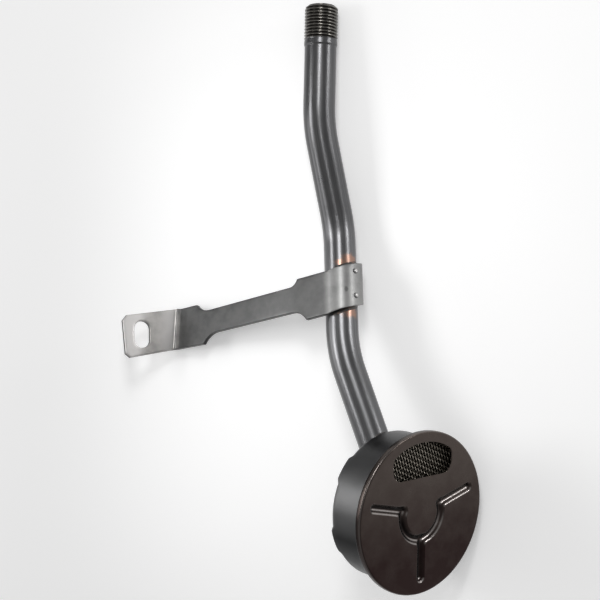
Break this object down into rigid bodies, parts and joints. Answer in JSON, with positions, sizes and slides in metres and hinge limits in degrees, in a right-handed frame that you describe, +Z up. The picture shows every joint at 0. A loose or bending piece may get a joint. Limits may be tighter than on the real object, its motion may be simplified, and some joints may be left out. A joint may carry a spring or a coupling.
{
  "type": "oil pickup tube",
  "caption": "Bent steel oil pickup tube with a threaded end, a brazed mounting strap with a slotted tab, and a round screened strainer can on its lower end.",
  "frame": {"origin": "middle of the footprint of the part as it lies on a level floor, at floor height", "axes": "+Z up, +Y along the part towards the tube's threaded end, +X to the side that the strainer's cover faces"},
  "size_m": [0.1868, 0.2846, 0.0768],
  "materials": {
    "tube_steel": "drawn tube, bare and dark grey, glossy with fine lengthwise streaks",
    "strap_steel": "pressed strip, matt mid grey",
    "can_steel": "deep-drawn sheet, dark grey, satin",
    "cover_steel": "pressed sheet with a brown-black oxide film, satin",
    "screen_wire": "plain woven wire cloth, dull tan grey",
    "copper_braze": "thin copper braze, matt pink brown"
  },
  "bodies": {
    "root": {"pickup_tube": "tube_steel", "bracket_strap": "strap_steel", "screen_can": "can_steel", "cover_plate": "cover_steel", "wire_screen": "screen_wire", "strap_braze_upper": "copper_braze", "strap_braze_lower": "copper_braze", "tube_braze": "copper_braze"}
  },
  "joints": []
}
